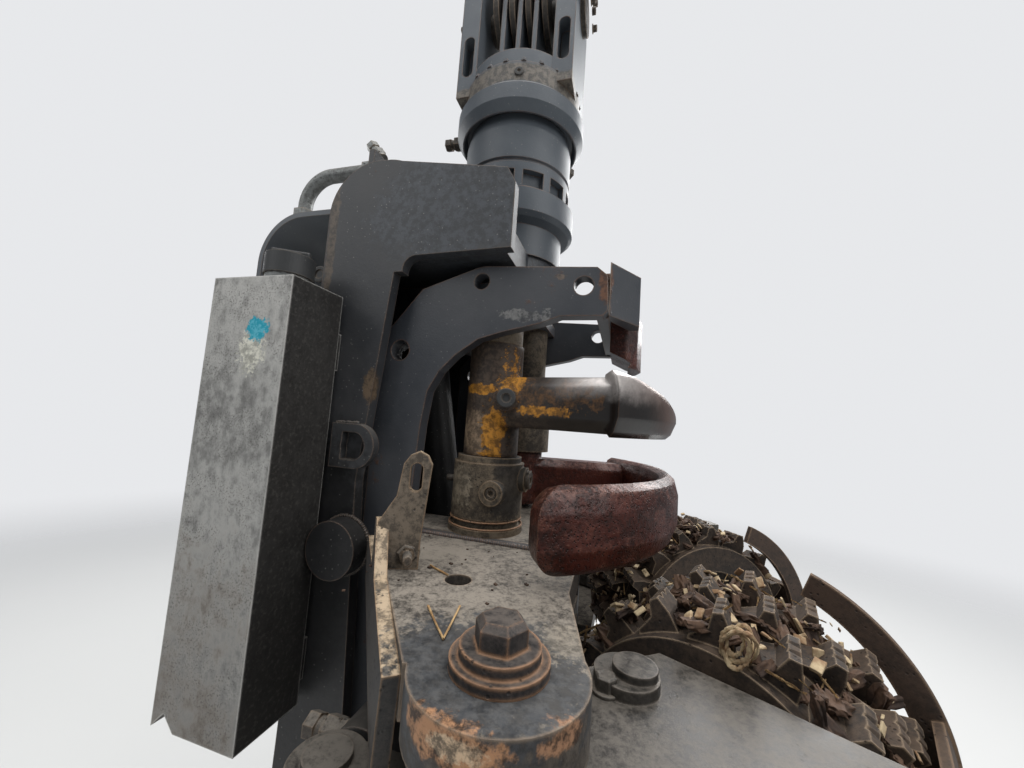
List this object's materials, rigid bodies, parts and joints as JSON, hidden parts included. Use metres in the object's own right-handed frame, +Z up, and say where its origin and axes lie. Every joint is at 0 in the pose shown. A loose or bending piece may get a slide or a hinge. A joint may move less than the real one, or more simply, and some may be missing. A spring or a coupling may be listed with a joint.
{
  "type": "harvester head with rotator",
  "caption": "Harvester head of a forestry machine, standing upright under its rotator, with tilt frame, delimbing knives, feed rollers and saw box.",
  "frame": {"origin": "middle of the crane-tip pin bore in the top of the link", "axes": "+Z up, +X towards the open side that takes the stem, -Y the side seen nearest in the picture"},
  "size_m": [1.0452, 1.1194, 2.191],
  "materials": {
    "painted_charcoal": "satin",
    "worn_plate": "worn satin",
    "rusty_steel": "rusty",
    "bare_steel": "worn",
    "rotator_paint": "satin",
    "tank_steel": "mottled",
    "knife_steel": "polished by wear",
    "chrome_rod": "polished",
    "black_paint": "satin",
    "cap_plastic": "matte"
  },
  "bodies": {
    "link": {"crane_link": "bare_steel"},
    "rotator_upper": {"rotator_yoke": "rotator_paint", "cross_pin": "bare_steel"},
    "tilt": {"rotator_motor": "rotator_paint", "tilt_frame": "painted_charcoal", "tilt_pins": "bare_steel", "oil_tank": "tank_steel", "tank_cap": "cap_plastic", "hose_cover": "painted_charcoal", "elbow_pipe": "bare_steel"},
    "head": {"frame_sides": "worn_plate", "upper_deck": "bare_steel", "lower_deck": "worn_plate", "cross_plates": "worn_plate", "stem_plates": "bare_steel", "arch_nose": "rusty_steel", "fixed_knife": "rusty_steel", "knife_sleeves": "bare_steel", "head_pins": "rusty_steel", "guard_plates": "rusty_steel", "rear_brackets": "worn_plate", "saw_box": "painted_charcoal", "saw_motor": "black_paint", "valve_cover": "painted_charcoal"},
    "tilt_cylinder_barrel": {"tilt_barrel": "black_paint"},
    "tilt_cylinder_rod": {"tilt_rod": "chrome_rod"},
    "upper_knife_near": {"knife_near": "knife_steel"},
    "upper_knife_far": {"knife_far": "rusty_steel"},
    "roller_arm_near": {"arm_near": "worn_plate", "roller_guard_near": "rusty_steel"},
    "roller_arm_far": {"arm_far": "worn_plate", "roller_guard_far": "rusty_steel"},
    "feed_roller_near": {"roller_near": "bare_steel"},
    "feed_roller_far": {"roller_far": "bare_steel"},
    "arm_cylinder_barrel": {"arm_barrel": "black_paint"},
    "arm_cylinder_rod": {"arm_rod": "chrome_rod"},
    "lower_knife_near": {"rear_knife_near": "rusty_steel"},
    "lower_knife_far": {"rear_knife_far": "rusty_steel"},
    "rear_cylinder_barrel": {"rear_barrel": "black_paint"},
    "rear_cylinder_rod": {"rear_rod": "chrome_rod"},
    "inner_roller": {"inner_roller": "bare_steel"},
    "measuring_arm": {"measuring_arm": "bare_steel"},
    "measuring_wheel": {"measuring_wheel": "bare_steel"},
    "saw": {"saw_bar": "bare_steel", "saw_chain": "bare_steel"}
  },
  "joints": [
    {"name": "link_swing", "type": "hinge", "parent": "link", "child": "rotator_upper", "pos_m": [0, 0, -0.22], "axis": [1, 0, 0], "range_deg": [-35, 35]},
    {"name": "rotator_turn", "type": "hinge", "parent": "rotator_upper", "child": "tilt", "pos_m": [0, 0, -0.496], "axis": [0, 0, 1], "continuous": true},
    {"name": "head_tilt", "type": "hinge", "parent": "tilt", "child": "head", "pos_m": [-0.19, 0, -1.7], "axis": [0, 1, 0], "range_deg": [0, 110]},
    {"name": "tilt_barrel_swing", "type": "hinge", "parent": "tilt", "child": "tilt_cylinder_barrel", "pos_m": [-0.185, 0, -0.905], "axis": [0, 1, 0], "range_deg": [0, 5.58]},
    {"name": "tilt_rod_slide", "type": "slide", "parent": "tilt_cylinder_barrel", "child": "tilt_cylinder_rod", "axis": [0.1903, 0, -0.9817], "range_m": [0, 0.3163]},
    {"name": "upper_knives", "type": "hinge", "parent": "head", "child": "upper_knife_near", "pos_m": [0.02, -0.106, -1], "axis": [0, 0, 1], "range_deg": [-92, 0]},
    {"name": "upper_knife_far", "type": "hinge", "parent": "head", "child": "upper_knife_far", "pos_m": [0.02, 0.106, -1.2], "axis": [0, 0, 1], "range_deg": [0, 92]},
    {"name": "roller_arms", "type": "hinge", "parent": "head", "child": "roller_arm_near", "pos_m": [0.156, -0.45, -1.42], "axis": [0, 0, 1], "range_deg": [-68, 0]},
    {"name": "roller_arm_far", "type": "hinge", "parent": "head", "child": "roller_arm_far", "pos_m": [0.156, 0.45, -1.42], "axis": [0, 0, 1], "range_deg": [0, 68]},
    {"name": "feed_roller_near", "type": "hinge", "parent": "roller_arm_near", "child": "feed_roller_near", "pos_m": [0.367, -0.2, -1.4445], "axis": [0.454, 0.891, 0], "continuous": true},
    {"name": "feed_roller_far", "type": "hinge", "parent": "roller_arm_far", "child": "feed_roller_far", "pos_m": [0.367, 0.2, -1.4445], "axis": [0.454, -0.891, 0], "continuous": true},
    {"name": "arm_barrel_swing", "type": "hinge", "parent": "roller_arm_near", "child": "arm_cylinder_barrel", "pos_m": [0.016, -0.45, -1.4205], "axis": [0, 0, 1], "range_deg": [0, 68]},
    {"name": "arm_rod_slide", "type": "slide", "parent": "arm_cylinder_barrel", "child": "arm_cylinder_rod", "axis": [0, -1, 0], "range_m": [0, 0.2601]},
    {"name": "lower_knives", "type": "hinge", "parent": "head", "child": "lower_knife_near", "pos_m": [0.04, -0.252, -1.69], "axis": [0, 0, 1], "range_deg": [-80, 0]},
    {"name": "lower_knife_far", "type": "hinge", "parent": "head", "child": "lower_knife_far", "pos_m": [0.04, 0.252, -1.69], "axis": [0, 0, 1], "range_deg": [0, 80]},
    {"name": "rear_barrel_swing", "type": "hinge", "parent": "lower_knife_near", "child": "rear_cylinder_barrel", "pos_m": [-0.052, -0.252, -1.687], "axis": [0, 0, 1], "range_deg": [0, 80]},
    {"name": "rear_rod_slide", "type": "slide", "parent": "rear_cylinder_barrel", "child": "rear_cylinder_rod", "axis": [0, -1, 0], "range_m": [0, 0.1817]},
    {"name": "inner_roller_turn", "type": "hinge", "parent": "head", "child": "inner_roller", "pos_m": [0.178, 0, -1.631], "axis": [0, 1, 0], "continuous": true},
    {"name": "measuring_arm_swing", "type": "hinge", "parent": "head", "child": "measuring_arm", "pos_m": [0.15, 0, -1.914], "axis": [0, 1, 0], "range_deg": [-12, 0]},
    {"name": "measuring_wheel_turn", "type": "hinge", "parent": "measuring_arm", "child": "measuring_wheel", "pos_m": [0.208, 0, -1.824], "axis": [0, 1, 0], "continuous": true},
    {"name": "saw_swing", "type": "hinge", "parent": "head", "child": "saw", "pos_m": [0.06, 0.33, -2.055], "axis": [0, 0, 1], "range_deg": [0, 100]}
  ],
  "couplings": [
    {"joint": "tilt_barrel_swing", "follows": "head_tilt", "ratio": 0.050647},
    {"joint": "tilt_rod_slide", "follows": "head_tilt", "m_per_rad": 0.16448},
    {"joint": "upper_knife_far", "follows": "upper_knives", "ratio": -1},
    {"joint": "roller_arm_far", "follows": "roller_arms", "ratio": -1},
    {"joint": "arm_barrel_swing", "follows": "roller_arms", "ratio": -1},
    {"joint": "arm_rod_slide", "follows": "roller_arms", "m_per_rad": -0.21874},
    {"joint": "lower_knife_far", "follows": "lower_knives", "ratio": -1},
    {"joint": "rear_barrel_swing", "follows": "lower_knives", "ratio": -1},
    {"joint": "rear_rod_slide", "follows": "lower_knives", "m_per_rad": -0.12978}
  ]
}
